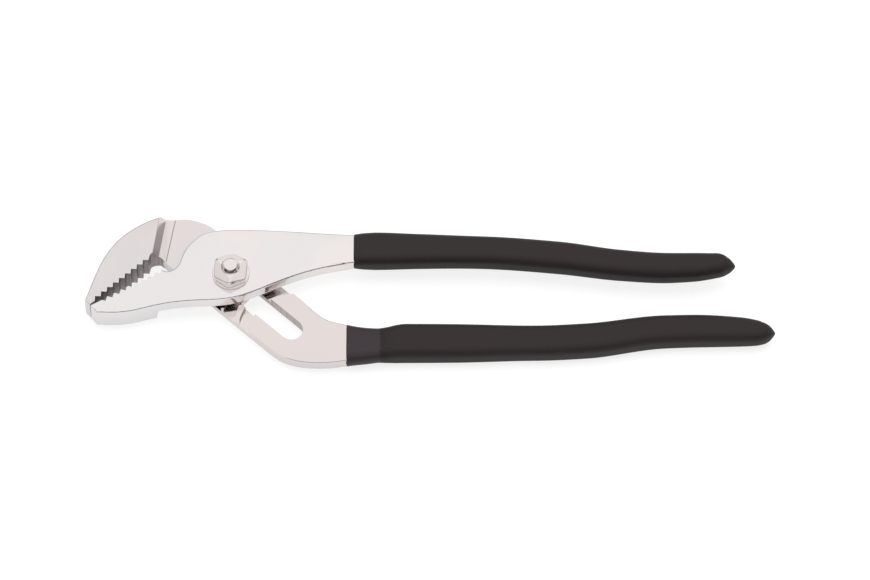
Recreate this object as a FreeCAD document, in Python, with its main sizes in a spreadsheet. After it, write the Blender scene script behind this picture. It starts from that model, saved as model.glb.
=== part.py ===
import FreeCAD, Part
import Sketcher
import math
import os

# Tongue and groove pliers, lying flat.
# Millimetres. The origin is on the pivot axis, in the flat bottom of the bolt head.
# +Z is the plate normal, +X runs along the handles and the jaws are at -X.

V = FreeCAD.Vector

os.makedirs("parts", exist_ok=True)
doc = FreeCAD.newDocument("pliers")

# ---------------------------------------------------------------- driving sizes
SIZES = [
    ("plate", 5.1, "thickness of each half in the joint"),
    ("faceGap", 0.1, "gap between the two halves"),
    ("axialPlay", 0.05, "play under the bolt head and under the washer"),
    ("headHigh", 3.0, "bolt head height"),
    ("headDia", 15.0, "bolt head diameter"),
    ("headRim", 0.8, "rounding of the bolt head rim"),
    ("shankDia", 8.1, "bolt shank diameter"),
    ("slotPlay", 0.2, "slot width less the shank"),
    ("borePlay", 0.1, "front bore less the shank"),
    ("threadDia", 6.35, "threaded end diameter"),
    ("threadOut", 1.5, "bolt end beyond the nut"),
    ("endChamfer", 0.9, "chamfer of the bolt end"),
    ("washerDia", 13.6, "washer diameter"),
    ("washerThick", 0.8, "washer thickness"),
    ("washerPlay", 0.3, "washer bore less the thread"),
    ("nutFlats", 11.8, "nut across its flats"),
    ("nutHigh", 4.5, "nut height"),
    ("nutFacetIn", 2.7, "nut axis to the inner edge of a crimped facet"),
    ("nutFacetDrop", 2.0, "drop of a crimped facet at the flats"),
    ("nutCone", 1.0, "height of the cone on the nut corners"),
    ("nutTurn", -6.0, "turn of the nut, degrees"),
    ("pitch", 7.5, "step from one setting to the next"),
    ("settings", 5, "number of settings"),
    ("slotAngle", -42.5, "direction of the slot, degrees"),
    ("armUp", 11.3, "slot axis to the upper edge of the arm"),
    ("armDown", 10.8, "slot axis to the lower edge of the arm"),
    ("grooveInner", 14.7, "inner radius of each groove about its setting"),
    ("landWide", 2.7, "land between two grooves"),
    ("grooveDeep", 2.6, "groove floor below the arm face"),
    ("landDeep", 0.9, "land top below the arm face"),
    ("tonguePlay", 0.1, "play of the tongue, each side and above the lands"),
    ("toothPitch", 2.83, "tooth pitch along the jaw"),
    ("teeth", 9, "notches in each jaw"),
    ("toothDeep", 1.4, "tooth depth"),
    ("upperBite", 41.6, "direction of the upper tooth line, degrees"),
    ("lowerBite", 30.2, "direction of the lower tooth line, degrees"),
    ("tongueShift", 10.0, "middle of the tongue past the slot axis, degrees"),
    ("tongueHalf", 20.0, "half of the arc that the tongue covers, degrees"),
    ("rampStep", 1.5, "height of the low ramp at the rear jaw"),
    ("rampLong", 3.2, "length of the low ramp"),
    ("wallSlope", 2.1, "lean of the jaw's wall above the low ramp"),
    ("edgeRound", 0.8, "rounding of the outer edges"),
    ("frontEnd", 183.3, "pivot to the end of the front handle, along X"),
    ("rearEnd", 175.3, "last setting to the end of the rear handle, along X"),
    ("frontGripStart", 44.5, "pivot to the front grip, along X"),
    ("rearGripStart", 19.9, "last setting to the rear grip, along X"),
    ("gripThick", 9.8, "grip thickness"),
    ("gripCorner", 3.4, "corner radius of the grip section"),
    ("gripWall", 1.5, "grip wall at the sides of the tang"),
    ("gripLip", 0.6, "grip wall at its front end"),
    ("tangCap", 6.0, "grip beyond the end of the tang"),
]
sheet = doc.addObject("Spreadsheet::Sheet", "Sizes")
for row, (alias, value, meaning) in enumerate(SIZES, start=1):
    sheet.set("A%d" % row, meaning)
    sheet.set("B%d" % row, str(value))
    sheet.setAlias("B%d" % row, alias)
doc.recompute()


def size(alias):
    return float(getattr(sheet, alias))


# ------------------------------------------------------------------ worked sizes
REAR_BASE = "Sizes.headHigh + Sizes.axialPlay"
MATE = REAR_BASE + " + Sizes.plate"
FRONT_BASE = MATE + " + Sizes.faceGap"
FRONT_FACE = FRONT_BASE + " + Sizes.plate"
SHOULDER = FRONT_FACE + " + Sizes.axialPlay"
NUT_BASE = SHOULDER + " + Sizes.washerThick"
NUT_TOP = NUT_BASE + " + Sizes.nutHigh"
JAW_THICK = "2 * Sizes.plate + Sizes.faceGap"


def level(words):
    """The value in millimetres of an expression on the sheet."""
    for alias, _, _ in sorted(SIZES, key=lambda entry: -len(entry[0])):
        words = words.replace("Sizes." + alias, repr(size(alias)))
    total = 0.0
    for term in words.split("+"):
        product = 1.0
        for factor in term.split("*"):
            product = product * float(factor)
        total = total + product
    return total


angle = math.radians(size("slotAngle"))
ALONG = V(math.cos(angle), math.sin(angle), 0)
ACROSS = V(-math.sin(angle), math.cos(angle), 0)
travel = size("pitch") * (size("settings") - 1)
LAST = ALONG * travel
groove_outer = size("grooveInner") + size("pitch") - size("landWide")
slot_r = (size("shankDia") + size("slotPlay")) / 2
NEAR = 0.01  # heights closer than this are the same
GROOVE_HALF = 52  # half arc of a groove, degrees, past both edges of the arm
RAMP_WIDE = "10 * Sizes.plate"  # well past both ends of the jaw's ramp
STRIP_PAST = 1.5  # the sunk strip ends this far outside the arm
NOSE_DEEP = 1.3  # depth of a grip over its width, where the nose narrows


def arm(along, across):
    """A point given along and across the slot, from the first setting."""
    return ALONG * along + ACROSS * across


def polar(centre, radius, degrees):
    turn = math.radians(degrees)
    return centre + V(math.cos(turn), math.sin(turn), 0) * radius


# ------------------------------------------------------------------ sketch tools
def new_body(name):
    body = doc.addObject("PartDesign::Body", name)
    body.Label = name
    return body


def plane(body, role):
    for feature in body.Origin.OriginFeatures:
        if feature.Role == role:
            return feature
    raise ValueError(role)


def sketch(body, name, height, curves, role="XY_Plane"):
    """A sketch on one of the body's own planes, raised by an expression."""
    made = body.newObject("Sketcher::SketchObject", name)
    made.AttachmentSupport = [(plane(body, role), "")]
    made.MapMode = "FlatFace"
    if height is not None:
        made.setExpression("AttachmentOffset.Base.z", height)
    for curve in curves:
        made.addGeometry(curve, False)
    return made


def circle(body, name, height, diameter):
    """A circle on the pivot axis whose radius is bound to the sheet."""
    made = sketch(body, name, height, [Part.Circle(V(0, 0, 0), V(0, 0, 1), 1)])
    made.addConstraint(Sketcher.Constraint("Coincident", 0, 3, -1, 1))
    made.addConstraint(Sketcher.Constraint("Radius", 0, 1))
    made.setExpression("Constraints[1]", "(%s) / 2" % diameter)
    return made


def pad(body, profile, length, down=False):
    made = body.newObject("PartDesign::Pad", profile.Name + "_pad")
    made.Profile = profile
    made.Reversed = down
    made.setExpression("Length", length)
    profile.Visibility = False
    return made


def pocket(body, profile, length):
    made = body.newObject("PartDesign::Pocket", profile.Name + "_pocket")
    made.Profile = profile
    made.setExpression("Length", length)
    profile.Visibility = False
    return made


def line(start, end):
    return Part.LineSegment(start, end)


def polyline(points):
    return [line(a, b) for a, b in zip(points, points[1:])]


def curve(points, leave=None, arrive=None):
    """A smooth curve through a few points, with end directions if given."""
    made = Part.BSplineCurve()
    if leave is None and arrive is None:
        made.interpolate(Points=points)
        return made
    step = points[1].sub(points[0]).Length
    last = points[-1].sub(points[-2]).Length
    first_way = leave if leave is not None else points[1].sub(points[0])
    last_way = arrive if arrive is not None else points[-1].sub(points[-2])
    made.interpolate(
        Points=points,
        InitialTangent=first_way.normalize() * step,
        FinalTangent=last_way.normalize() * last,
    )
    return made


def arc(centre, radius, start, end):
    """An arc from one angle to another, anticlockwise, in degrees."""
    return Part.ArcOfCircle(
        Part.Circle(centre, V(0, 0, 1), radius), math.radians(start), math.radians(end)
    )


def ring_sector(centre, inner, outer, middle, half):
    """The four edges of a curved bar about a centre."""
    start = middle - half
    end = middle + half
    return [
        arc(centre, inner, start, end),
        line(polar(centre, inner, end), polar(centre, outer, end)),
        arc(centre, outer, start, end),
        line(polar(centre, outer, start), polar(centre, inner, start)),
    ]


def points(pairs, base=V(0, 0, 0)):
    return [base + V(x, y, 0) for x, y in pairs]


# --------------------------------------------------------------- handle stations
# Each station is a share of the grip's length, the middle of the grip and half
# its width. The rear handle is placed from the last setting.
FRONT_STATIONS = [
    (0.00, 10.6, 6.4),
    (0.06, 10.7, 6.6),
    (0.17, 10.6, 6.1),
    (0.34, 10.1, 5.6),
    (0.54, 7.9, 5.6),
    (0.70, 4.8, 5.3),
    (0.82, 3.7, 5.1),
    (0.91, 3.9, 4.6),
    (0.96, 4.3, 3.8),
    (1.00, 4.6, 1.2),
]
REAR_STATIONS = [
    (0.00, -5.3, 7.9),
    (0.04, -5.5, 7.0),
    (0.085, -5.2, 6.4),
    (0.14, -4.4, 6.9),
    (0.25, -4.4, 6.8),
    (0.44, -4.3, 6.1),
    (0.56, -3.4, 6.1),
    (0.74, 0.3, 5.7),
    (0.84, 0.7, 5.5),
    (0.93, 0.4, 4.8),
    (0.97, 0.1, 3.9),
    (1.00, -0.4, 1.2),
]


def handle_sections(stations, start, end, base):
    """The place, middle and half width of each section along a grip."""
    made = []
    for share, middle, half in stations:
        made.append((base.x + start + share * (end - start), base.y + middle, half))
    return made


def tang_edges(sections, side):
    """Points on one edge of the tang: the grip's edge less its wall."""
    end = sections[-1][0] - size("tangCap")
    start, middle, half = sections[0]
    made = [V(start, middle + side * (half - size("gripLip")), 0)]
    for place, middle, half in sections[1:]:
        if place < end - size("tangCap"):
            made.append(V(place, middle + side * (half - size("gripWall")), 0))
    tip = interpolate_section(sections, end)
    made.append(V(end, tip[0] + side * (tip[1] - size("gripWall")), 0))
    return made


def interpolate_section(sections, place):
    for before, after in zip(sections, sections[1:]):
        if before[0] <= place <= after[0]:
            share = (place - before[0]) / (after[0] - before[0])
            middle = before[1] + share * (after[1] - before[1])
            half = before[2] + share * (after[2] - before[2])
            return middle, half
    raise ValueError("the tang ends outside its grip")


front_sections = handle_sections(
    FRONT_STATIONS, size("frontGripStart"), size("frontEnd"), V(0, 0, 0)
)
rear_sections = handle_sections(
    REAR_STATIONS, size("rearGripStart"), size("rearEnd"), LAST
)


# ------------------------------------------------------------------------ teeth
def tooth_row(first, bite, side):
    """Notches of ninety degrees in a row; side is +1 to cut upwards."""
    way = polar(V(0, 0, 0), 1, bite)
    into = polar(V(0, 0, 0), 1, bite + 90 * side)
    made = []
    for number in range(int(size("teeth"))):
        deep = first + way * (number * size("toothPitch"))
        left = deep - way * (size("toothPitch") / 2) - into * size("toothDeep")
        right = deep + way * (size("toothPitch") / 2) - into * size("toothDeep")
        made = made + [left, deep]
    made.append(right)
    return made


# -------------------------------------------------------------------- finishing
def edges_at(body, height, keep=None):
    """Names of the edges that lie flat at one height and pass a test, if there is one."""
    names = []
    for number, edge in enumerate(body.Shape.Edges, start=1):
        box = edge.BoundBox
        flat = abs(box.ZMin - height) < NEAR and abs(box.ZMax - height) < NEAR
        if flat and (keep is None or keep(edge)):
            names.append("Edge%d" % number)
    return names


def soften(body, name, names, radius="Sizes.edgeRound"):
    base = body.Tip
    made = body.newObject("PartDesign::Fillet", name)
    made.Base = (base, names)
    made.setExpression("Radius", radius)
    doc.recompute()
    return made


def round_outline(body, name, height):
    """Round the long curved outer edges at one height."""
    def outer(edge):
        spline = edge.Curve.TypeId == "Part::GeomBSplineCurve"
        return spline and edge.Length > 4 * size("toothPitch")

    soften(body, name, edges_at(body, level(height), outer))


# -------------------------------------------------------------------- rear half
def build_rear_half():
    """Upper jaw, slotted and grooved arm, and the tang of the lower handle."""
    body = new_body("rear_half")
    bite = tooth_row(V(-49.0, -9.3, 0), size("upperBite"), 1)
    heel = bite[-1]
    gullet = arm(-22.1, -size("armDown"))
    throat = curve([heel] + points([(-29.2, 8.3), (-27.0, 9.0)]) + [gullet], arrive=ALONG * 1)
    tip = points([(-50.9, -12.7), (-52.8, -10.9)])
    crown = points(
        [(-50.7, -4.4), (-47.6, 4.2), (-44.1, 10.7), (-39.3, 16.3), (-34.4, 20.0),
         (-29.0, 22.9), (-24.8, 24.3), (-20.8, 25.2), (-16.5, 25.5), (-11.8, 24.3)]
    )
    crest = crown[7]
    crest_way = crown[6] - crown[8]
    jaw_back = curve(crown[7::-1] + [tip[1]], leave=crest_way * 1)
    arm_low = arm(travel - 2, -size("armDown"))
    arm_turn = arm(-19.5, size("armUp"))
    arm_high = arm(travel - 6, size("armUp"))
    neck_low = points([(-1.5, -11.8), (6.5, -13.5), (16.0, -13.3)], LAST)
    neck_high = points([(6.5, 9.2), (13.0, 4.0)], LAST)
    lower = tang_edges(rear_sections, -1)
    upper = tang_edges(rear_sections, 1)
    bitten = [line(tip[1], tip[0]), line(tip[0], bite[0])] + polyline(bite) + [throat]
    outline = bitten + [
        line(gullet, arm_low),
        curve([arm_low] + neck_low + lower[:1], leave=ALONG * 1),
    ]
    outline += polyline(lower + upper[::-1])
    outline += [
        curve(upper[:1] + neck_high[::-1] + [arm_high], arrive=ALONG * -1),
        line(arm_high, arm_turn),
        curve([arm_turn] + crown[:7:-1] + [crest], ALONG * -1, crest_way * 1),
        jaw_back,
    ]
    pad(body, sketch(body, "rear_outline", REAR_BASE, outline), "Sizes.plate")

    # the jaw is as thick as both halves, and a two-step ramp leads down from it
    jaw = bitten + [line(gullet, crest), jaw_back]
    pad(body, sketch(body, "rear_jaw", REAR_BASE, jaw), JAW_THICK)
    doc.recompute()
    mate = level(MATE)
    top = level(FRONT_FACE) + 1
    bend = -size("rampLong")
    rim = bend - size("wallSlope")
    ramp = polyline(
        [V(0, mate, 0), V(bend, mate + size("rampStep"), 0), V(rim, level(FRONT_FACE), 0),
         V(rim, top, 0), V(size("headDia"), top, 0), V(size("headDia"), mate, 0), V(0, mate, 0)]
    )
    profile = sketch(body, "ramp", None, ramp, "XZ_Plane")
    lean = math.degrees(math.atan2(crest.x - gullet.x, crest.y - gullet.y))
    profile.AttachmentOffset = FreeCAD.Placement(
        V(gullet.x, 0, -gullet.y), FreeCAD.Rotation(V(0, 1, 0), -lean)
    )
    cleared = pocket(body, profile, RAMP_WIDE)
    cleared.Midplane = True
    doc.recompute()

    # the slot, the sunk strip of lands and the grooves between them
    ends = [arm(0, slot_r), arm(travel, slot_r), arm(travel, -slot_r), arm(0, -slot_r)]
    turn = size("slotAngle")
    slot = [
        line(ends[0], ends[1]),
        arc(LAST, slot_r, turn - 90, turn + 90),
        line(ends[2], ends[3]),
        arc(V(0, 0, 0), slot_r, turn + 90, turn + 270),
    ]
    pocket(body, sketch(body, "slot", MATE, slot), "Sizes.plate + 1")
    reach = max(size("armUp"), size("armDown")) + STRIP_PAST
    inner = size("grooveInner")
    far = math.degrees(math.asin(reach / groove_outer))
    near = math.degrees(math.asin(reach / inner))
    back = turn + 180
    corners = [
        polar(V(0, 0, 0), groove_outer, back + far), polar(LAST, inner, back + near),
        polar(LAST, inner, back - near), polar(V(0, 0, 0), groove_outer, back - far),
    ]
    strip = [
        arc(V(0, 0, 0), groove_outer, back - far, back + far),
        line(corners[0], corners[1]),
        arc(LAST, inner, back - near, back + near),
        line(corners[2], corners[3]),
    ]
    pocket(body, sketch(body, "lands", MATE, strip), "Sizes.landDeep")
    grooves = []
    for setting in range(int(size("settings"))):
        centre = ALONG * (setting * size("pitch"))
        grooves += ring_sector(centre, inner, groove_outer, back, GROOVE_HALF)
    pocket(body, sketch(body, "grooves", MATE, grooves), "Sizes.grooveDeep")
    doc.recompute()
    round_outline(body, "rear_jaw_edges", FRONT_FACE)
    return body


# ------------------------------------------------------------------- front half
def build_front_half():
    """Lower jaw, pivot plate with its bore and tongue, and the upper tang."""
    body = new_body("front_half")
    bite = tooth_row(V(-45.2, -11.3, 0), size("lowerBite"), -1)
    tip = V(-50.65, -13.0, 0)
    chin = V(-48.3, -15.9, 0)
    split = V(-27.0, -13.0, 0)
    split_way = V(-1, -0.24, 0)
    throat = points([(1.91, -0.81), (4.31, 0.09), (6.01, 2.09)], bite[-1])
    brow = points([(-18.0, 7.3), (-16.4, 10.9), (-13.9, 14.0), (-10.3, 16.9), (-6.6, 18.0)])
    ridge = points([(3.8, 18.6), (14.3, 18.3), (28.2, 17.4)])
    belly = points(
        [(31.6, 2.1), (24.7, -0.1), (17.7, -2.9), (10.8, -6.1), (3.8, -8.9),
         (-1.0, -10.1), (-13.5, -11.0), (-20.5, -11.7)]
    )
    under = points([(-34.4, -15.0), (-41.4, -16.0)])
    jaw_under = curve([split] + under + [chin], leave=split_way * 1)
    upper = tang_edges(front_sections, 1)
    lower = tang_edges(front_sections, -1)
    outline = [line(chin, tip), line(tip, bite[0])]
    outline += polyline(bite)
    outline += [
        curve([bite[-1]] + throat + brow + ridge + upper[:1]),
    ]
    outline += polyline(upper + lower[::-1])
    outline += [
        curve(lower[:1] + belly + [split], arrive=split_way * 1),
        jaw_under,
    ]
    pad(body, sketch(body, "front_outline", FRONT_BASE, outline), "Sizes.plate")
    jaw = [line(chin, tip), line(tip, bite[0])]
    jaw += polyline(bite)
    jaw += [line(bite[-1], split), jaw_under]
    pad(body, sketch(body, "front_jaw", REAR_BASE, jaw), JAW_THICK)
    middle = size("slotAngle") + 180 + size("tongueShift")
    play = size("tonguePlay")
    tongue = ring_sector(
        V(0, 0, 0), size("grooveInner") + play, groove_outer - play, middle, size("tongueHalf")
    )
    deep = "Sizes.landDeep - Sizes.tonguePlay + Sizes.faceGap"
    pad(body, sketch(body, "tongue", FRONT_BASE, tongue), deep, down=True)
    bore = circle(body, "bore", FRONT_FACE, "Sizes.shankDia + Sizes.borePlay")
    pocket(body, bore, "Sizes.plate + 1")
    doc.recompute()
    round_outline(body, "front_face_edges", FRONT_FACE)
    round_outline(body, "front_jaw_edges", REAR_BASE)
    return body


# ---------------------------------------------------------------- bolt, washer, nut
def build_pivot_bolt():
    """Low round head at the back, plain shank and a threaded end at the front."""
    body = new_body("pivot_bolt")
    pad(body, circle(body, "head", None, "Sizes.headDia"), "Sizes.headHigh")
    shank_long = "2 * Sizes.plate + Sizes.faceGap + 2 * Sizes.axialPlay"
    pad(body, circle(body, "shank", "Sizes.headHigh", "Sizes.shankDia"), shank_long)
    end_long = "Sizes.washerThick + Sizes.nutHigh + Sizes.threadOut"
    pad(body, circle(body, "thread", SHOULDER, "Sizes.threadDia"), end_long)
    doc.recompute()
    soften(body, "head_rim", edges_at(body, 0), "Sizes.headRim")
    crown = level(NUT_TOP) + size("threadOut")
    base = body.Tip
    rims = edges_at(body, crown)
    made = body.newObject("PartDesign::Chamfer", "thread_end")
    made.Base = (base, rims)
    made.setExpression("Size", "Sizes.endChamfer")
    doc.recompute()
    return body


def build_washer():
    """Flat washer between the nut and the front half."""
    body = new_body("washer")
    pad(body, circle(body, "disc", SHOULDER, "Sizes.washerDia"), "Sizes.washerThick")
    doc.recompute()
    hole = circle(body, "hole", NUT_BASE, "Sizes.threadDia + Sizes.washerPlay")
    pocket(body, hole, "Sizes.washerThick + 1")
    doc.recompute()
    return body


def build_lock_nut():
    """Hexagon nut with a cone on its corners and three crimped facets on top."""
    body = new_body("lock_nut")
    corner = size("nutFlats") / 2 / math.cos(math.radians(30))
    ring = [polar(V(0, 0, 0), corner, size("nutTurn") + 60 * k) for k in range(7)]
    ring[6] = ring[0]
    pad(body, sketch(body, "hexagon", NUT_BASE, polyline(ring)), "Sizes.nutHigh")
    hole = circle(body, "nut_bore", NUT_TOP, "Sizes.threadDia + Sizes.borePlay")
    pocket(body, hole, "Sizes.nutHigh + 1")
    top = level(NUT_TOP)
    flat = size("nutFlats") / 2 - 0.2
    lean = size("nutCone") / (corner - flat)
    out = corner + 1
    cone = polyline(
        [V(flat, top, 0), V(out, top - lean * (out - flat), 0), V(out, top + 1, 0),
         V(flat, top + 1, 0), V(flat, top, 0)]
    )
    profile = sketch(body, "corner_cone", None, cone, "XZ_Plane")
    turned = body.newObject("PartDesign::Groove", "corner_cone_groove")
    turned.Profile = profile
    turned.ReferenceAxis = (profile, ["V_Axis"])
    turned.Angle = 360
    slope = size("nutFacetDrop") / (size("nutFlats") / 2 - size("nutFacetIn"))
    start = size("nutFacetIn")
    facet = polyline(
        [V(start, top, 0), V(out, top - slope * (out - start), 0), V(out, top + 1, 0),
         V(start, top + 1, 0), V(start, top, 0)]
    )
    doc.recompute()
    crimp = pocket(body, sketch(body, "crimp", None, facet, "XZ_Plane"), "4 * Sizes.nutFlats")
    crimp.Midplane = True
    doc.recompute()
    pattern = body.newObject("PartDesign::PolarPattern", "crimps")
    pattern.Originals = [crimp]
    pattern.Axis = (profile, ["V_Axis"])
    pattern.Angle = 360
    pattern.Occurrences = 3
    body.Tip = pattern
    body.Placement = FreeCAD.Placement(V(0, 0, 0), FreeCAD.Rotation(V(0, 0, 1), 90))
    doc.recompute()
    return body


# ------------------------------------------------------------------------ grips
def section(half_wide, half_thick):
    """A rectangle with round corners, centred, as sketch lines and arcs."""
    r = min(size("gripCorner"), half_wide * 0.9, half_thick * 0.9)
    x = half_wide - r
    y = half_thick - r
    return [
        line(V(-x, -half_thick, 0), V(x, -half_thick, 0)),
        arc(V(x, -y, 0), r, -90, 0),
        line(V(half_wide, -y, 0), V(half_wide, y, 0)),
        arc(V(x, y, 0), r, 0, 90),
        line(V(x, half_thick, 0), V(-x, half_thick, 0)),
        arc(V(-x, y, 0), r, 90, 180),
        line(V(-half_wide, y, 0), V(-half_wide, -y, 0)),
        arc(V(-x, -y, 0), r, 180, 270),
    ]


def build_grip(name, half, sections, base):
    """A dipped sleeve: a loft along the handle, less the half that it covers."""
    body = doc.addObject("PartDesign::Body", name + "_solid")
    middle = level(base) + size("plate") / 2
    rings = []
    for number, (place, across, wide) in enumerate(sections):
        thick = min(size("gripThick") / 2, wide * NOSE_DEEP)
        made = sketch(body, "%s_ring_%d" % (name, number), None, section(wide, thick), "YZ_Plane")
        made.AttachmentOffset = FreeCAD.Placement(V(across, middle, place), FreeCAD.Rotation())
        made.setExpression("AttachmentOffset.Base.y", base + " + Sizes.plate / 2")
        rings.append(made)
    loft = body.newObject("PartDesign::AdditiveLoft", name + "_loft")
    loft.Profile = rings[0]
    loft.Sections = rings[1:]
    loft.Ruled = True
    doc.recompute()
    cut = doc.addObject("Part::Cut", name)
    cut.Base = body
    cut.Tool = half
    cut.Label = name
    doc.recompute()
    return cut


# ---------------------------------------------------------------------- assembly
rear_half = build_rear_half()
front_half = build_front_half()
nodes = [
    rear_half,
    front_half,
    build_pivot_bolt(),
    build_washer(),
    build_lock_nut(),
    build_grip("rear_grip", rear_half, rear_sections, REAR_BASE),
    build_grip("front_grip", front_half, front_sections, FRONT_BASE),
]
doc.recompute()

for node in doc.Objects:
    if "Invalid" in node.State or "Error" in node.State:
        raise ValueError(node.Name + " did not build")
for node in nodes:
    shape = node.Shape
    if shape.isNull() or not shape.isValid() or len(shape.Solids) != 1:
        raise ValueError(node.Label + " is not one valid solid")
    shape.exportStep("parts/" + node.Label + ".step")
    print(node.Label, round(shape.Volume, 1), [round(v, 2) for v in (
        shape.BoundBox.XMin, shape.BoundBox.XMax, shape.BoundBox.YMin,
        shape.BoundBox.YMax, shape.BoundBox.ZMin, shape.BoundBox.ZMax)])
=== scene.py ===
"""Tongue and groove pliers: plated forged halves, a lock nut on a bolt, and dipped grips."""

import math

import bmesh
import bpy
import numpy as np
from bpy.props import FloatProperty, FloatVectorProperty, PointerProperty
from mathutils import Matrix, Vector


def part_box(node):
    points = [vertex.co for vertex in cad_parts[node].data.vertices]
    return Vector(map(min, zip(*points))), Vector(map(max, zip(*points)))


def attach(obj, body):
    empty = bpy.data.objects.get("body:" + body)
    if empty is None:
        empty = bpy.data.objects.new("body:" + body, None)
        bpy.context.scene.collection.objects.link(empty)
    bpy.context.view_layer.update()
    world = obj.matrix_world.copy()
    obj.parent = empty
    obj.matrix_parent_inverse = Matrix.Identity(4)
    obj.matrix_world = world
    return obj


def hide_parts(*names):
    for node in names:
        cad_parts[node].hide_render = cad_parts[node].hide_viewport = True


bl_info = {
    "name": "Tongue and groove pliers",
    "version": (1, 0, 0),
    "blender": (4, 5, 0),
    "location": "3D View > Sidebar > Pliers",
    "description": "Builds plated pliers with dipped grips round their fixed frame",
    "category": "Add Mesh",
}

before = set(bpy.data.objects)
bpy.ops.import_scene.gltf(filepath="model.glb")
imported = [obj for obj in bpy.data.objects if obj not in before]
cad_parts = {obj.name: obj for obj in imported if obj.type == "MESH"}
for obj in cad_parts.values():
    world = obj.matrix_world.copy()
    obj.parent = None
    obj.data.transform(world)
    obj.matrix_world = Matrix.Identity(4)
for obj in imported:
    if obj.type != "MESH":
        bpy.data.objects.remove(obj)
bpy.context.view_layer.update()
MM = 0.001

# Along the handle, middle across it, and half its width, in millimetres.
FRONT_GRIP = np.array([
    (44.5, 10.6, 6.4), (52.83, 10.7, 6.6), (68.1, 10.6, 6.1), (91.69, 10.1, 5.6),
    (119.45, 7.9, 5.6), (141.66, 4.8, 5.3), (158.32, 3.7, 5.1), (168.6, 4.0, 4.9),
    (174.0, 4.4, 4.5), (177.6, 4.75, 4.1), (180.4, 4.6, 2.75), (183.3, 4.3, 1.1),
])
REAR_GRIP = np.array([
    (42.02, -25.57, 7.9), (48.23, -25.77, 7.0), (55.23, -25.47, 6.4), (63.77, -24.67, 6.9),
    (80.87, -24.67, 6.8), (110.39, -24.57, 6.1), (129.04, -23.67, 6.1), (157.01, -19.97, 5.7),
    (171.0, -19.6, 5.55), (184.9, -19.93, 5.05), (191.1, -20.35, 4.3), (194.4, -20.6, 3.0),
    (197.42, -20.6, 1.1),
])
# Half the thickness of each grip along the handle, in millimetres.
FRONT_THICK = np.array([(44.5, 3.9), (47.5, 4.6), (52.0, 4.9), (160.0, 4.9), (183.3, 4.3)])
REAR_THICK = np.array([
    (42.02, 4.1), (44.0, 3.9), (53.6, 3.9), (56.0, 4.4), (60.0, 4.9), (172.0, 4.9), (197.42, 4.3)
])
BAND_END = 54.3
NO_BAND = 0.0
GRIP_STEPS = 240

# The halves: lengths in millimetres, slopes in degrees. Each row of teeth starts at a point
# and runs at a slope; the slot starts at the bolt.
REAR_TEETH, REAR_SLOPE = (-49.0, -9.3), 41.6
FRONT_TEETH, FRONT_SLOPE = (-45.2, -11.3), 30.2
TEETH_BEFORE, TEETH_LONG, TEETH_DEEP = -0.8, 33.0, 3.2
SLOT_SLOPE, SLOT_HALF, SLOT_ENDS = -42.5, 4.4, (-4.5, 34.5)
GROOVE_LOW, GROOVE_ENDS, ARM_LOW = 5.35, (-12.0, 16.0), -9.8
NECK_START, NECK_LOW, JAW_END = 29.0, (20.0, -27.0), -27.0
PLATE_TOP, BOLT_CLEAR = 12.0, 8.5
LEVEL = 0.02
UPRIGHT = 0.5
# Shares of the edge break for the neck, the rear jaw and the front half.
NECK_SHARE, JAW_SHARE, FRONT_SHARE = 0.7, 0.3, 0.8
BEVEL_STEPS = 3
EDGE_ANGLE = math.radians(32)
FLAT_ANGLE = math.radians(0.4)

# Painted shade line behind the jaw's ramp: its normal and offset, half width and lower end, in
# metres.
SHADE_LINE, SHADE_LINE_HALF, SHADE_LINE_LOW = (0.985, -0.171, 0.02483), 0.00016, 0.0072
# Roughness of the walls in painted shade, and how much paler the slot's painted shade is.
SHADED_WALL_GLOSS = 0.42
SLOT_PALER = 1.55
FASTENER_GLOSS = 0.85

# The lock nut, in millimetres and degrees; a lean is the drop over the distance outwards.
NUT_HALF, NUT_TURN, NUT_CRISP, NUT_BORE = 5.9, -6.0, 15.0, 3.2
NUT_CONE_START, NUT_CONE_LEAN = 5.3, 0.6
CRIMPS, CRIMP_START, CRIMP_LEAN = (90.0, 210.0, 330.0), 2.7, 0.625
NUT_AROUND, NUT_RINGS = 288, 48

# The bolt and washer, in metres.
SHANK, SHANK_LOW, SHANK_HIGH = 0.00405, 0.0030, 0.0134
SCREW, SCREW_START, SCREW_ROWS = 0.003175, 0.0180, 34
HEAD_RIM, HEAD_TOP, HEAD_EDGE = 0.0009, 0.0027, 0.0003
CROWN, CROWN_EDGE, POLE = 0.00228, 0.0001, 0.0006
WASHER_BORE, WASHER_EDGE = 0.0033, 0.0002

# The stage, in metres.
FLOOR_HALF, FLOOR_DROP = 6.0, 0.00005
FLOOR_GLOW, FLOOR_MIRROR_LOSS = 0.78, 0.26
LAMP_SIZE, LAMP_PLACE, LAMP_AIM = (1.6, 1.1), (0.07, 0.25, 1.6), (0.07, 0, 0)
DARK_SIDE, DARK_HEIGHT, DARK_DEPTH = (-0.12, -0.42), (0.38, 0.60), 0.88
SHEEN_HEIGHT, SHEEN_LOW = (0.15, 0.80), 0.45
SKY_TINT = (1.0, 0.985, 0.98, 1)


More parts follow.
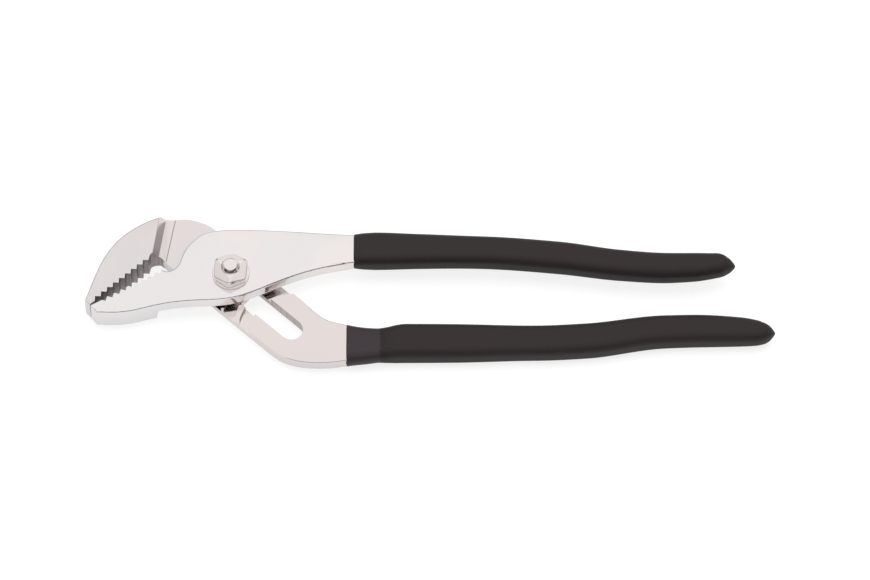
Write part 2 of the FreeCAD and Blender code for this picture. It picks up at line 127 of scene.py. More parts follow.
# ------------------------------------------------------------------------ sizes and colours
class PliersShape(bpy.types.PropertyGroup):
    """Sizes of the looks that go over the frame."""

    edge_break: FloatProperty(
        name="Edge break", description="Rounding along the sharp edges of the halves",
        default=0.0007, min=0, unit="LENGTH",
    )
    nut_edge: FloatProperty(
        name="Nut edge", description="Rounding along the edges of the lock nut",
        default=0.00018, min=0, unit="LENGTH",
    )
    corner: FloatProperty(
        name="Grip corner", description="Corner radius of a grip's cross section",
        default=0.0036, min=0, unit="LENGTH",
    )
    lip: FloatProperty(
        name="Grip lip", description="Rounding at the front end of a grip",
        default=0.0005, min=0, unit="LENGTH",
    )
    nose: FloatProperty(
        name="Grip nose", description="Length of the rounded point at the back end of a grip",
        default=0.0022, min=0, unit="LENGTH",
    )
    thread_pitch: FloatProperty(
        name="Thread pitch", description="Rise of the thread in one turn",
        default=0.00127, min=0.0001, unit="LENGTH",
    )
    thread_depth: FloatProperty(
        name="Thread depth", description="Depth of the thread",
        default=0.00045, min=0, unit="LENGTH",
    )


class PliersFinish(bpy.types.PropertyGroup):
    """Colours and gloss of the finishes."""

    plate: FloatVectorProperty(
        name="Plated steel", description="Colour of the front half",
        default=(0.86, 0.835, 0.83), size=3, min=0, max=1, subtype="COLOR",
    )
    rear_plate: FloatVectorProperty(
        name="Rear plated steel", description="Colour of the rear half",
        default=(0.77, 0.735, 0.73), size=3, min=0, max=1, subtype="COLOR",
    )
    # Painted shade: the dark colour of the upright walls of teeth, slot and grooves, where shade
    # falls.
    cut: FloatVectorProperty(
        name="Wall shade", description="Colour of the cut teeth, slot and grooves",
        default=(0.27, 0.245, 0.24), size=3, min=0, max=1, subtype="COLOR",
    )
    fastener: FloatVectorProperty(
        name="Plated fastener", description="Colour of the bolt, nut and washer",
        default=(0.84, 0.80, 0.785), size=3, min=0, max=1, subtype="COLOR",
    )
    vinyl: FloatVectorProperty(
        name="Vinyl", description="Colour of the dipped grips",
        default=(0.0165, 0.0125, 0.0125), size=3, min=0, max=1, subtype="COLOR",
    )
    band: FloatVectorProperty(
        name="Thin vinyl", description="Colour of the thin band at the front of the rear grip",
        default=(0.028, 0.020, 0.0245), size=3, min=0, max=1, subtype="COLOR",
    )
    plate_gloss: FloatProperty(
        name="Plate roughness", description="Roughness of the plating",
        default=0.14, min=0, max=1, subtype="FACTOR",
    )
    vinyl_gloss: FloatProperty(
        name="Vinyl roughness", description="Roughness of the dipped vinyl",
        default=0.52, min=0, max=1, subtype="FACTOR",
    )


class PliersStage(bpy.types.PropertyGroup):
    """Camera, floor and light."""

    distance: FloatProperty(
        name="Camera distance", description="From the camera to the middle of the tool",
        default=2.2, min=0.5, unit="LENGTH",
    )
    view_width: FloatProperty(
        name="View width", description="Width that the camera takes in at the tool",
        default=0.3162, min=0.05, unit="LENGTH",
    )
    elevation: FloatProperty(
        name="Camera height", description="Angle of the view above the floor",
        default=math.radians(61), subtype="ANGLE", unit="ROTATION",
    )
    target: FloatVectorProperty(
        name="Target", description="Point that the camera looks at",
        default=(0.0741, -0.00395, 0.00815), size=3, subtype="XYZ", unit="LENGTH",
    )
    floor: FloatVectorProperty(
        name="Floor", description="Colour of the floor",
        default=(0.27, 0.27, 0.27), size=3, min=0, max=1, subtype="COLOR",
    )
    sky: FloatProperty(
        name="Surround", description="Brightness of the soft surround",
        default=1.0, min=0, subtype="FACTOR",
    )
    lamp: FloatProperty(
        name="Soft box", description="Power of the soft box over the tool",
        default=16.0, min=0, unit="POWER",
    )


# ------------------------------------------------------------------------ shader expressions
class Wire:
    """A shader socket that takes part in sums: each operator adds one Math node."""

    def __init__(self, tree, socket):
        self.tree = tree
        self.socket = socket

    def _math(self, operation, first, second):
        node = self.tree.nodes.new("ShaderNodeMath")
        node.operation = operation
        plug(self.tree, node.inputs[0], first)
        plug(self.tree, node.inputs[1], second)
        return Wire(self.tree, node.outputs[0])

    def __add__(self, other):
        return self._math("ADD", self, other)

    def __radd__(self, other):
        return self._math("ADD", other, self)

    def __sub__(self, other):
        return self._math("SUBTRACT", self, other)

    def __rsub__(self, other):
        return self._math("SUBTRACT", other, self)

    def __mul__(self, other):
        return self._math("MULTIPLY", self, other)

    def __rmul__(self, other):
        return self._math("MULTIPLY", other, self)


def plug(tree, socket, value):
    """Sets a socket to a number or colour, or links a wire to it."""
    if isinstance(value, Wire):
        tree.links.new(value.socket, socket)
    elif isinstance(value, (tuple, list)) and len(value) == 3 and socket.type == "RGBA":
        socket.default_value = (*value, 1)
    else:
        socket.default_value = value


class Finish:
    """A new material or world with its own node tree."""

    def __init__(self, owner, place="Object"):
        self.owner = owner
        owner.use_nodes = True
        self.tree = owner.node_tree
        self.tree.nodes.clear()
        self.place = self.node("ShaderNodeTexCoord", out=place)

    def node(self, kind, settings=None, sockets=None, out=0):
        """Any node: its settings first, then the values or wires of its sockets."""
        made = self.tree.nodes.new(kind)
        for key, value in (settings or {}).items():
            setattr(made, key, value)
        for key, value in (sockets or {}).items():
            plug(self.tree, made.inputs[key], value)
        return Wire(self.tree, made.outputs[out])

    def noise(self, scale, detail, stretch=(1, 1, 1)):
        """Smooth noise over the piece's own coordinates, its cells stretched by axis."""
        where = self.node("ShaderNodeMapping", None, {"Vector": self.place, "Scale": stretch})
        values = {"Vector": where, "Scale": scale, "Detail": detail}
        return self.node("ShaderNodeTexNoise", None, values, out="Fac")

    def fade(self, value, low, high, start=0.0, end=1.0):
        """A smooth step of value, from start at low to end at high."""
        values = {
            "Value": value, "From Min": low, "From Max": high, "To Min": start, "To Max": end
        }
        return self.node("ShaderNodeMapRange", {"interpolation_type": "SMOOTHSTEP"}, values)

    def blend(self, share, first, second):
        """A colour between two colours."""
        values = {0: share, 6: first, 7: second}
        return self.node("ShaderNodeMix", {"data_type": "RGBA"}, values, out=2)

    def bump(self, height, distance, normal=None):
        """A normal tilted by a height, which is a share of distance."""
        values = {"Height": height, "Distance": distance}
        if normal is not None:
            values["Normal"] = normal
        return self.node("ShaderNodeBump", None, values)

    def axis(self, name):
        """One coordinate of the piece, in metres."""
        return self.node("ShaderNodeSeparateXYZ", None, {"Vector": self.place}, out=name)

    def surface(self, **sockets):
        """The Principled surface, with names spelled with underscores for spaces."""
        values = {key.replace("_", " "): value for key, value in sockets.items()}
        shader = self.node("ShaderNodeBsdfPrincipled", None, values)
        self.output("ShaderNodeOutputMaterial", shader)
        return self.owner

    def output(self, kind, shader):
        """Ends the tree in an output node."""
        made = self.tree.nodes.new(kind)
        plug(self.tree, made.inputs["Surface"], shader)


def plating(name, colour, rough, lengthways, with_shade_line):
    """Bright plating over polished steel.

    Slow waves from polishing bend the reflections, fine lines run lengthways, and the
    colour and gloss drift a little over the surface. When asked, a thin dark line of
    painted shade follows the foot of the jaw's ramp.
    """
    finish = Finish(bpy.data.materials.new(name))
    cloud = finish.noise(28.0, 2.0)
    lines = finish.noise(900.0, 4.0, stretch=lengthways)
    mottle = finish.noise(260.0, 4.0)
    warm = tuple(min(1.0, part * share) for part, share in zip(colour, (1.02, 0.985, 0.97)))
    cool = tuple(part * share for part, share in zip(colour, (0.955, 0.965, 0.975)))
    shade = finish.blend(finish.fade(cloud, 0.35, 0.65), cool, warm)
    if with_shade_line:
        away = finish.axis("X") * SHADE_LINE[0] + finish.axis("Y") * SHADE_LINE[1] + SHADE_LINE[2]
        line = finish.fade(away * away, SHADE_LINE_HALF**2 / 4, SHADE_LINE_HALF**2 * 2, 1.0, 0.0)
        line = line * finish.fade(finish.axis("Y"), SHADE_LINE_LOW, SHADE_LINE_LOW + 5 * SHADE_LINE_HALF)
        # The line's colour, three tenths of the plating's: painted shade at the foot of the
        # jaw's ramp.
        shade_line_colour = tuple(part * 0.3 for part in colour)
        shade = finish.blend(line * 0.8, shade, shade_line_colour)
    gloss = rough + (lines - 0.5) * 0.10 + (mottle - 0.5) * 0.08
    waves = finish.bump(cloud, 0.00035)
    fine = finish.bump(lines, 0.000004, normal=waves)
    return finish.surface(
        Base_Color=shade, Metallic=1.0, Roughness=gloss, Normal=fine, IOR=1.5
    )


def wall_shade_plating(name, colour, rough):
    """Plating painted darker as shade on upright walls, with fine lines down the walls."""
    finish = Finish(bpy.data.materials.new(name))
    marks = finish.noise(2200.0, 3.0, stretch=(1, 1, 0.03))
    cloud = finish.noise(350.0, 3.0)
    pale = tuple(part * 1.5 for part in colour)
    shade = finish.blend(finish.fade(marks + (cloud - 0.5) * 0.4, 0.3, 0.7), colour, pale)
    gloss = rough + (cloud - 0.5) * 0.2
    grooves = finish.bump(marks, 0.00004)
    return finish.surface(
        Base_Color=shade, Metallic=1.0, Roughness=gloss, Normal=grooves, IOR=1.5
    )


def dipped(name, colour, band, band_end, rough):
    """Soft dipped vinyl.

    A fine pebble of the cured dip, slow sags along the handle, and a thin smoother band at
    the front that ends in a speckled step.
    """
    finish = Finish(bpy.data.materials.new(name))
    along = finish.axis("X")
    sag = finish.noise(45.0, 2.0, stretch=(0.35, 1, 1))
    pebble = finish.noise(2600.0, 3.0)
    grain = finish.noise(900.0, 4.0)
    dust = finish.noise(5200.0, 2.0)
    edge = along + (grain - 0.5) * 0.0016
    thin = finish.fade(edge, band_end - 0.0002, band_end + 0.0002, 1.0, 0.0)
    speckle = finish.fade(along, band_end, band_end + 0.007, 1.0, 0.0) * (1.0 - thin)
    dark = tuple(part * 0.72 for part in colour)
    warm = tuple(part * share for part, share in zip(colour, (1.12, 1.0, 1.06)))
    base = finish.blend(finish.fade(sag, 0.3, 0.7), colour, warm)
    specked = finish.blend(speckle * finish.fade(grain, 0.42, 0.6), base, dark)
    shade = finish.blend(thin, specked, band)
    gloss = rough + (sag - 0.5) * 0.12 + (dust - 0.5) * 0.10 - thin * 0.10
    soft = finish.bump(sag, 0.0005)
    rough_skin = finish.bump(pebble, 0.00003, normal=soft)
    return finish.surface(
        Base_Color=shade, Roughness=gloss, Normal=rough_skin, IOR=1.46,
        Specular_IOR_Level=0.34,
    )


# ------------------------------------------------------------------------ surfaces
def new_piece(name, points, faces):
    """A mesh object from arrays of corners and faces, smooth all over."""
    mesh = bpy.data.meshes.new(name)
    mesh.from_pydata(points.tolist(), [], faces)
    mesh.update()
    mesh.polygons.foreach_set("use_smooth", np.ones(len(mesh.polygons), bool))
    made = bpy.data.objects.new(name, mesh)
    bpy.context.scene.collection.objects.link(made)
    return made


def skin(name, rings):
    """A closed surface over rings of points, each end closed by a pole.

    rings is an array (rings, points round, 3). Point j of ring i joins point j + 1 of the
    same ring and point j of the next ring; the middle of the first and of the last ring is
    the pole of its end.
    """
    count, around, _ = rings.shape
    index = np.arange(count * around).reshape(count, around)
    left = index[:-1]
    right = index[1:]
    quads = np.stack(
        [left, np.roll(left, -1, 1), np.roll(right, -1, 1), right], axis=-1
    ).reshape(-1, 4)
    first = count * around
    last = first + 1
    start = np.stack([np.roll(index[0], -1), index[0], np.full(around, first)], axis=-1)
    finish = np.stack([index[-1], np.roll(index[-1], -1), np.full(around, last)], axis=-1)
    poles = np.stack([rings[0].mean(0), rings[-1].mean(0)])
    points = np.concatenate([rings.reshape(-1, 3), poles])
    made = new_piece(name, points, quads.tolist() + start.tolist() + finish.tolist())
    outwards(made)
    return made


def outwards(piece):
    """Turns every face of a closed piece to point outwards."""
    shape = bmesh.new()
    shape.from_mesh(piece.data)
    bmesh.ops.recalc_face_normals(shape, faces=shape.faces)
    shape.to_mesh(piece.data)
    shape.free()


def table(stations, column, where):
    """A smooth curve through a table of stations, at the places in where.

    Between two stations it is the cubic that has their values and their slopes. Each slope
    is twice the product of the two neighbouring rises over their sum, or level where they
    differ in sign.
    """
    places = stations[:, 0]
    values = stations[:, column]
    rises = np.diff(values) / np.diff(places)
    product = rises[:-1] * rises[1:]
    total = np.where(product > 0, rises[:-1] + rises[1:], 1)
    inner = np.where(product > 0, 2 * product / total, 0)
    slopes = np.concatenate([rises[:1], inner, rises[-1:]])
    step = np.clip(np.searchsorted(places, where) - 1, 0, len(places) - 2)
    wide = places[step + 1] - places[step]
    share = (where - places[step]) / wide
    rise = 3 * share**2 - 2 * share**3
    lead = share * (1 - share) ** 2
    trail = share**2 * (share - 1)
    bend = wide * (slopes[step] * lead + slopes[step + 1] * trail)
    return values[step] * (1 - rise) + values[step + 1] * rise + bend


def rounded_ring(half_wide, half_thick, corner, each=12):
    """Rounded rectangles, one for each entry of the two arrays of half sizes.

    Every point is the centre of its corner's circle plus the corner radius at its angle;
    the four corners take a quarter turn each.
    """
    quarter = np.linspace(0, math.pi / 2, each)
    angle = np.concatenate([quarter + turn * math.pi / 2 for turn in range(4)])
    across = np.repeat([1, -1, -1, 1], each)
    up = np.repeat([1, 1, -1, -1], each)
    radius = np.minimum(corner, np.minimum(half_wide, half_thick) * 0.96)[:, None]
    y = across * (half_wide[:, None] - radius) + radius * np.cos(angle)
    z = up * (half_thick[:, None] - radius) + radius * np.sin(angle)
    return y, z


def grip_surface(name, stations, thickness, middle, shape):
    """A dipped sleeve: rounded rectangles along the handle's curve.

    The rings stand at even steps, with closer ones on the lip and the nose. At the lip
    the section grows by a quarter circle, and at the nose it shrinks as the root of one
    less the square of the share of the nose's length.
    """
    start = stations[0, 0]
    end = stations[-1, 0]
    lip = shape.lip / MM
    nose = shape.nose / MM
    turn = np.linspace(0, math.pi / 2, 8)
    front = start + lip * (1 - np.cos(turn))
    body = np.linspace(start + lip, end - nose, GRIP_STEPS)[1:-1]
    back = end - nose + nose * np.sin(np.linspace(0, math.pi / 2, 16))
    where = np.concatenate([front, body, back])
    wide = table(stations, 2, where)
    thick = np.minimum(np.interp(where, thickness[:, 0], thickness[:, 1]), wide * 1.3)
    inset = np.zeros_like(where)
    inset[: len(turn)] = lip * (1 - np.sin(turn))
    share = np.clip((where - (end - nose)) / nose, 0, 1)
    shrink = np.sqrt(np.maximum(1 - share**2, 1e-4))
    wide = (wide - inset) * shrink
    thick = (thick - inset) * shrink
    y, z = rounded_ring(wide, thick, shape.corner / MM)
    x = np.repeat(where[:, None], y.shape[1], axis=1)
    y = y + table(stations, 1, where)[:, None]
    z = z + middle
    return skin(name, np.stack([x, y, z], axis=-1) * MM)


def turned(profile, around, wave=None):
    """A turned piece: the profile of (radius, height) pairs carried round the Z axis.

    wave, where given, takes the arrays of radius, height and angle and gives the radius.
    """
    radius = np.repeat(profile[:, :1], around, axis=1)
    height = np.repeat(profile[:, 1:], around, axis=1)
    angle = np.repeat(
        np.linspace(0, 2 * math.pi, around, endpoint=False)[None, :], len(profile), axis=0
    )
    if wave is not None:
        radius = wave(radius, height, angle)
    return np.stack([radius * np.cos(angle), radius * np.sin(angle), height], axis=-1)


def tube(name, rings):
    """A closed ring-shaped surface: the last ring is the first one again."""
    count, around, _ = rings.shape
    index = np.arange((count - 1) * around).reshape(count - 1, around)
    after = np.roll(index, -1, 0)
    quads = np.stack(
        [index, np.roll(index, -1, 1), np.roll(after, -1, 1), after], axis=-1
    ).reshape(-1, 4)
    made = new_piece(name, rings[:-1].reshape(-1, 3), quads.tolist())
    outwards(made)
    return made


def nut_edge(angle):
    """The radius of a hexagon with rounded corners.

    The half width over a soft largest of the cosines of the angles to the six flats: each
    cosine to a high power, added, and the root of that power taken.
    """
    flats = math.radians(NUT_TURN) + np.arange(6) * math.pi / 3
    facing = np.maximum(np.cos(angle[..., None] - flats), 0)
    return NUT_HALF / (facing**NUT_CRISP).sum(-1) ** (1 / NUT_CRISP)


def nut_top(radius, angle, top):
    """The least of a level top, a cone over the corners and three sloping crimps."""
    height = np.minimum(top, top - NUT_CONE_LEAN * (radius - NUT_CONE_START))
    for turn in CRIMPS:
        reach = radius * np.cos(angle - math.radians(turn)) - CRIMP_START
        height = np.minimum(height, top - CRIMP_LEAN * reach)
    return height


def sharpen(piece):
    """Marks the edges of a piece that stay crisp."""
    shape = bmesh.new()
    shape.from_mesh(piece.data)
    for edge in shape.edges:
        edge.smooth = len(edge.link_faces) == 2 and edge.calc_face_angle(0) < EDGE_ANGLE
    shape.to_mesh(piece.data)
    shape.free()


def from_line(points, start, slope):
    """Each point's place along and across a line that starts at start, in millimetres."""
    along = np.array([math.cos(math.radians(slope)), math.sin(math.radians(slope))])
    away = np.asarray(points)[..., :2] - start
    return away @ along, away @ np.array([-along[1], along[0]])


def by_teeth(points, start, slope):
    """Where points are in the row of teeth or its throat."""
    along, across = from_line(points, start, slope)
    near = np.abs(across) < TEETH_DEEP
    return near & (along > TEETH_BEFORE) & (along < TEETH_LONG)


def rear_shaded_walls(middles, normals):
    """Upright faces of the rear half in painted shade: 1 for teeth and grooves, 2 for the slot.
    """
    upright = np.abs(normals[:, 2]) < UPRIGHT
    along, across = from_line(middles, (0, 0), SLOT_SLOPE)
    slot = (np.abs(across) < SLOT_HALF) & (along > SLOT_ENDS[0]) & (along < SLOT_ENDS[1])
    groove = (middles[:, 2] > GROOVE_LOW) & (across > ARM_LOW)
    groove &= (middles[:, 0] > GROOVE_ENDS[0]) & (middles[:, 0] < GROOVE_ENDS[1])
    teeth = by_teeth(middles, REAR_TEETH, REAR_SLOPE)
    return np.where(upright & slot, 2, upright & (groove | teeth))


def front_shaded_walls(middles, normals):
    """The upright faces of the front half's teeth and throat, which take painted shade."""
    upright = np.abs(normals[:, 2]) < UPRIGHT
    return upright & by_teeth(middles, FRONT_TEETH, FRONT_SLOPE)


def middle_of(edge):
    """The middle of an edge in millimetres, and whether the edge is level."""
    first, last = (corner.co for corner in edge.verts)
    return np.array((first + last) / 2) / MM, abs(first.z - last.z) < LEVEL * MM


def rear_share(edge):
    """How much of the rounding an edge of the rear half gets: the neck's edges most."""
    middle, flat = middle_of(edge)
    if not flat:
        return 0.0
    if middle[0] > NECK_START or (middle[0] > NECK_LOW[0] and middle[1] < NECK_LOW[1]):
        return NECK_SHARE
    fine = by_teeth(middle, REAR_TEETH, REAR_SLOPE)
    return JAW_SHARE if middle[0] < JAW_END and not fine else 0.0


def front_share(edge):
    """How much of the rounding an edge of the front half gets: its outline most."""
    middle, flat = middle_of(edge)
    fine = by_teeth(middle, FRONT_TEETH, FRONT_SLOPE) or middle[2] < PLATE_TOP
    near = math.hypot(middle[0], middle[1]) < BOLT_CLEAR
    return FRONT_SHARE if flat and not fine and not near else 0.0


def plain_copy(node, name, share):
    """The shape of a frame's node as its own merged mesh, flat faces made whole.

    share gives each sharp edge its share of the rounding.
    """
    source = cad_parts[node].data
    points = np.empty(len(source.vertices) * 3, np.float32)
    source.vertices.foreach_get("co", points)
    corners = np.empty(len(source.loops), np.int32)
    source.loops.foreach_get("vertex_index", corners)
    keys = np.round(points.reshape(-1, 3) * 1e6).astype(np.int64)
    merged, back = np.unique(keys, axis=0, return_inverse=True)
    faces = back.reshape(-1)[corners].reshape(-1, 3)
    whole = (
        (faces[:, 0] != faces[:, 1]) & (faces[:, 1] != faces[:, 2])
        & (faces[:, 2] != faces[:, 0])
    )
    made = new_piece(name, merged / 1e6, faces[whole].tolist())
    shape = bmesh.new()
    shape.from_mesh(made.data)
    bmesh.ops.dissolve_limit(
        shape, angle_limit=FLAT_ANGLE, verts=shape.verts, edges=shape.edges
    )
    weight = shape.edges.layers.float.new("bevel_weight_edge")
    for edge in shape.edges:
        edge.smooth = len(edge.link_faces) == 2 and edge.calc_face_angle(0) < EDGE_ANGLE
        edge[weight] = 0 if edge.smooth else share(edge)
    shape.to_mesh(made.data)
    shape.free()
    return made


def break_edges(piece, width):
    """Rounds the edges of a piece by width times each one's weight."""
    bevel = piece.modifiers.new("edge_break", "BEVEL")
    bevel.width = width
    bevel.segments = BEVEL_STEPS
    bevel.limit_method = "WEIGHT"
    bevel.use_clamp_overlap = False
    bevel.harden_normals = True
    bevel.miter_outer = "MITER_ARC"


def fit(piece, body, slot, finish, *nodes):
    """Gives a finished piece its material, its body and the frame's nodes it stands for."""
    piece.data.materials.clear()
    piece.data.materials.append(finish)
    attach(piece, body)
    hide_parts(*nodes)


def material(name, make, *values):
    """The named material, made once."""
    return bpy.data.materials.get(name) or make(name, *values)


def plate_materials(context, node):
    """The plating of one half, and its painted shade on the walls of teeth, grooves and slot."""
    look = context.scene.pliers_finish
    colour = tuple(look.rear_plate if node == "rear_half" else look.plate)
    # Only the rear half's plating takes the painted shade line at the foot of its jaw's ramp.
    bright = material(
        node + "_plating", plating, colour, look.plate_gloss, (0.06, 1, 1),
        node == "rear_half",
    )
    # The slot's walls take a paler painted shade than the teeth and grooves.
    paler = tuple(part * SLOT_PALER for part in look.cut)
    cut = material("cut_steel", wall_shade_plating, tuple(look.cut), SHADED_WALL_GLOSS)
    return bright, cut, material("milled_steel", wall_shade_plating, paler, SHADED_WALL_GLOSS)


def fastener_material(context):
    """The plating of the bolt, washer and nut, its fine lines upright."""
    look = context.scene.pliers_finish
    gloss = look.plate_gloss * FASTENER_GLOSS
    return material(
        "fastener_plating", plating, tuple(look.fastener), gloss, (1, 1, 0.1), False
    )


def middle_height(node):
    """The height of the middle of a frame's node, in millimetres."""
    low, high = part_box(node)
    return (low.z + high.z) / 2 / MM


def cad_low():
    """The height of the frame's lowest point."""
    return min(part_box(node)[0].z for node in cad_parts)


def surround(context, strength):
    """A soft pale surround with a dark side low in front.

    The brightness rises from a low share near the floor to all of it overhead. Directions
    that point to the front and stay low lose most of theirs, for all but camera rays.
    """
    world = bpy.data.worlds.new("surround")
    context.scene.world = world
    room = Finish(world, "Generated")
    height = room.axis("Z")
    low = room.fade(height, *DARK_HEIGHT, 1.0, 0.0)
    dark = room.fade(room.axis("Y"), *DARK_SIDE, 0.0, 1.0) * low
    seen = room.node("ShaderNodeLightPath", out="Is Camera Ray")
    sheen = room.fade(height, *SHEEN_HEIGHT, SHEEN_LOW, 1.0)
    level = sheen * (1.0 - dark * (1.0 - seen) * DARK_DEPTH) * strength
    glow = room.node("ShaderNodeBackground", None, {"Color": SKY_TINT, "Strength": level})
    room.output("ShaderNodeOutputWorld", glow)


# ------------------------------------------------------------------------ operators
class PLIERS_OT_halves(bpy.types.Operator):
    """Both forged halves, plated, with their edges broken"""

    bl_idname = "pliers.halves"
    bl_label = "Forged halves"

    def execute(self, context):
        for node, body, share, cut in (
            ("rear_half", "rear_handle", rear_share, rear_shaded_walls),
            ("front_half", "front_handle", front_share, front_shaded_walls),
        ):
            bright, *wall_shades = plate_materials(context, node)
            piece = plain_copy(node, node + "_plated", share)
            break_edges(piece, context.scene.pliers_shape.edge_break)
            fit(piece, body, "plated_steel", bright, node)
            for finish in wall_shades:
                piece.data.materials.append(finish)
            count = len(piece.data.polygons)
            middles, normals = np.empty(count * 3), np.empty(count * 3)
            piece.data.polygons.foreach_get("center", middles)
            piece.data.polygons.foreach_get("normal", normals)
            # Upright walls of teeth, grooves and slot get the darker materials of painted shade.
            chosen = cut(middles.reshape(-1, 3) / MM, normals.reshape(-1, 3))
            piece.data.polygons.foreach_set("material_index", chosen.astype(np.int32))
        return {"FINISHED"}


class PLIERS_OT_grips(bpy.types.Operator):
    """Both dipped grips"""

    bl_idname = "pliers.grips"
    bl_label = "Dipped grips"

    def execute(self, context):
        shape = context.scene.pliers_shape
        look = context.scene.pliers_finish
        colours = (tuple(look.vinyl), tuple(look.band))
        for side, stations, thickness, band in (
            ("rear", REAR_GRIP, REAR_THICK, BAND_END * MM),
            ("front", FRONT_GRIP, FRONT_THICK, NO_BAND),
        ):
            finish = material("vinyl_" + side, dipped, *colours, band, look.vinyl_gloss)
            middle = middle_height(side + "_grip")
            piece = grip_surface(side + "_dip", stations, thickness, middle, shape)
            fit(piece, side + "_handle", "grip_vinyl", finish, side + "_grip")
        return {"FINISHED"}


class PLIERS_OT_bolt(bpy.types.Operator):
    """Pivot bolt with a low round head and a threaded end"""

    bl_idname = "pliers.bolt"
    bl_label = "Pivot bolt"

    def execute(self, context):
        shape = context.scene.pliers_shape
        low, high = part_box("pivot_bolt")
        top = high.z
        head = (high.x - low.x) / 2
        turn = np.linspace(0, math.pi / 2, 7)
        under = (head - HEAD_RIM, low.z + HEAD_RIM, HEAD_RIM, -turn[::-1])
        upper = (head - HEAD_EDGE, HEAD_TOP, HEAD_EDGE, turn)
        crown = (CROWN, top - CROWN_EDGE, CROWN_EDGE, turn)
        under, upper, crown = (
            np.stack([x + size * np.cos(angle), y + size * np.sin(angle)], axis=-1)
            for x, y, size, angle in (under, upper, crown)
        )
        shank = [(SHANK, SHANK_LOW), (SHANK, SHANK_HIGH), (SCREW, SHANK_HIGH)]
        rows = np.linspace(SCREW_START, top - 0.0009, SCREW_ROWS)
        flank = [(SCREW, height) for height in rows]
        profile = np.concatenate([
            [(POLE, low.z)], under, upper, shank, flank,
            [(0.0029, top - 0.0006)], crown, [(POLE, top)],
        ])

        def thread(radius, height, angle):
            """The radius less a ridge that is highest once in each pitch of the helix."""
            turns = (height / shape.thread_pitch - angle / (2 * math.pi)) % 1
            ridge = np.abs(turns * 2 - 1)
            on = (height > SCREW_START) & (height < top - 0.0008) & (radius > 0.0031)
            return radius - np.where(on, shape.thread_depth * ridge, 0)

        rings = turned(profile, 128, thread)
        piece = skin("pivot_bolt_turned", rings)
        sharpen(piece)
        fit(piece, "pivot_set", "plated_fastener", fastener_material(context), "pivot_bolt")
        return {"FINISHED"}


class PLIERS_OT_washer(bpy.types.Operator):
    """Thin washer under the nut, with rounded rims"""

    bl_idname = "pliers.washer"
    bl_label = "Washer"

    def execute(self, context):
        low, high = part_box("washer")
        outer = (high.x - low.x) / 2
        turn = np.linspace(0, math.pi / 2, 5)
        sides = []
        for radius, height, phase in (
            (outer - WASHER_EDGE, low.z + WASHER_EDGE, -1),
            (outer - WASHER_EDGE, high.z - WASHER_EDGE, 0),
            (WASHER_BORE + WASHER_EDGE, high.z - WASHER_EDGE, 1),
            (WASHER_BORE + WASHER_EDGE, low.z + WASHER_EDGE, 2),
        ):
            angle = turn + phase * math.pi / 2
            arc = np.stack([np.cos(angle), np.sin(angle)], axis=-1)
            sides.append(np.array([radius, height]) + WASHER_EDGE * arc)
        profile = np.concatenate(sides)
        rings = turned(np.vstack([profile, profile[:1]]), 96)
        piece = tube("washer_turned", rings)
        fit(piece, "pivot_washer", "plated_fastener", fastener_material(context), "washer")
        return {"FINISHED"}


class PLIERS_OT_nut(bpy.types.Operator):
    """Hexagon lock nut with its crimped top"""

    bl_idname = "pliers.nut"
    bl_label = "Lock nut"

    def execute(self, context):
        low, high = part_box("lock_nut")
        base, top = low.z / MM, high.z / MM
        brim = context.scene.pliers_shape.nut_edge / MM
        angle = np.linspace(0, 2 * math.pi, NUT_AROUND, endpoint=False)
        edge = nut_edge(angle)
        bore = np.full_like(edge, NUT_BORE)
        floor = np.full_like(edge, base)
        brow = nut_top(edge, angle, top)
        radii = [bore, edge - brim, edge, edge, edge - 0.3 * brim]
        heights = [floor, floor, floor + brim, brow - brim, brow - 0.3 * brim]
        for share in np.linspace(0, 1, NUT_RINGS):
            radii.append((edge - brim) * (1 - share) + (bore + brim) * share)
            heights.append(nut_top(radii[-1], angle, top))
        radii = np.array([*radii, bore, bore])
        heights = np.array([*heights, nut_top(bore, angle, top) - brim, floor])
        rings = np.stack([radii * np.cos(angle), radii * np.sin(angle), heights], axis=-1)
        piece = tube("lock_nut_plated", rings * MM)
        sharpen(piece)
        fit(piece, "pivot_set", "plated_fastener", fastener_material(context), "lock_nut")
        return {"FINISHED"}


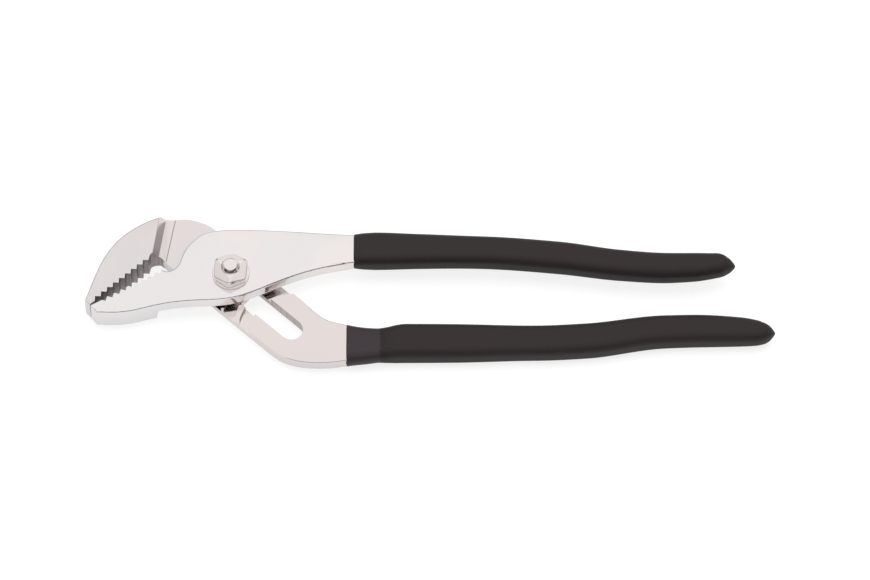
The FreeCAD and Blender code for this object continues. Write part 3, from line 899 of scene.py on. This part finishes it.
class PLIERS_OT_stage(bpy.types.Operator):
    """Camera, pale floor and soft light"""

    bl_idname = "pliers.stage"
    bl_label = "Stage"

    def execute(self, context):
        stage = context.scene.pliers_stage
        camera = bpy.data.cameras.new("camera")
        camera.lens = camera.sensor_width * stage.distance / stage.view_width
        camera.clip_end = 20
        eye = bpy.data.objects.new("camera", camera)
        target = Vector(stage.target)
        away = Vector((0, -math.cos(stage.elevation), math.sin(stage.elevation)))
        eye.location = target + away * stage.distance
        eye.rotation_euler = (-away).to_track_quat("-Z", "Y").to_euler()
        context.scene.collection.objects.link(eye)
        context.scene.camera = eye

        corners = np.array([(-1, -1, 0), (1, -1, 0), (1, 1, 0), (-1, 1, 0)]) * FLOOR_HALF
        corners[:, 2] = cad_low() - FLOOR_DROP
        floor = new_piece("floor", corners, [(0, 1, 2, 3)])
        finish = Finish(bpy.data.materials.new("floor_paint"))
        mirrored = finish.node("ShaderNodeLightPath", out="Is Glossy Ray")
        tone = finish.noise(3.0, 2.0)
        grey = tuple(part * 0.985 for part in stage.floor)
        floor.data.materials.append(finish.surface(
            Base_Color=finish.blend(tone, tuple(stage.floor), grey), Roughness=0.9,
            Specular_IOR_Level=0.1, Emission_Color=1.0 - mirrored * FLOOR_MIRROR_LOSS,
            Emission_Strength=FLOOR_GLOW,
        ))

        lamp = bpy.data.lights.new("soft_box", "AREA")
        lamp.shape = "RECTANGLE"
        lamp.size, lamp.size_y = LAMP_SIZE
        lamp.energy = stage.lamp
        box = bpy.data.objects.new("soft_box", lamp)
        box.location = LAMP_PLACE
        aim = Vector(LAMP_AIM) - box.location
        box.rotation_euler = aim.to_track_quat("-Z", "Y").to_euler()
        box.visible_glossy = False
        context.scene.collection.objects.link(box)
        surround(context, stage.sky)
        context.scene.view_settings.view_transform = "Standard"
        return {"FINISHED"}


# ------------------------------------------------------------------------ panel and start
OPERATORS = (
    PLIERS_OT_halves, PLIERS_OT_grips, PLIERS_OT_bolt, PLIERS_OT_washer, PLIERS_OT_nut,
    PLIERS_OT_stage,
)


class PLIERS_PT_panel(bpy.types.Panel):
    """Sizes, finishes and pieces of the pliers"""

    bl_idname = "PLIERS_PT_panel"
    bl_label = "Pliers"
    bl_space_type = "VIEW_3D"
    bl_region_type = "UI"
    bl_category = "Pliers"

    def draw(self, context):
        for group in ("pliers_shape", "pliers_finish", "pliers_stage"):
            settings = getattr(context.scene, group)
            box = self.layout.box()
            for name in settings.bl_rna.properties.keys():
                if name not in ("rna_type", "name"):
                    box.prop(settings, name)
        for operator in OPERATORS:
            self.layout.operator(operator.bl_idname)


GROUPS = {
    "pliers_shape": PliersShape, "pliers_finish": PliersFinish, "pliers_stage": PliersStage
}
CLASSES = (*GROUPS.values(), *OPERATORS, PLIERS_PT_panel)


def register():
    for item in CLASSES:
        bpy.utils.register_class(item)
    for name, group in GROUPS.items():
        setattr(bpy.types.Scene, name, PointerProperty(type=group))


def unregister():
    for name in GROUPS:
        delattr(bpy.types.Scene, name)
    for item in reversed(CLASSES):
        bpy.utils.unregister_class(item)


def main():
    register()
    bpy.ops.pliers.stage()
    bpy.ops.pliers.halves()
    bpy.ops.pliers.grips()
    bpy.ops.pliers.bolt()
    bpy.ops.pliers.washer()
    bpy.ops.pliers.nut()


if __name__ == "__main__":
    main()
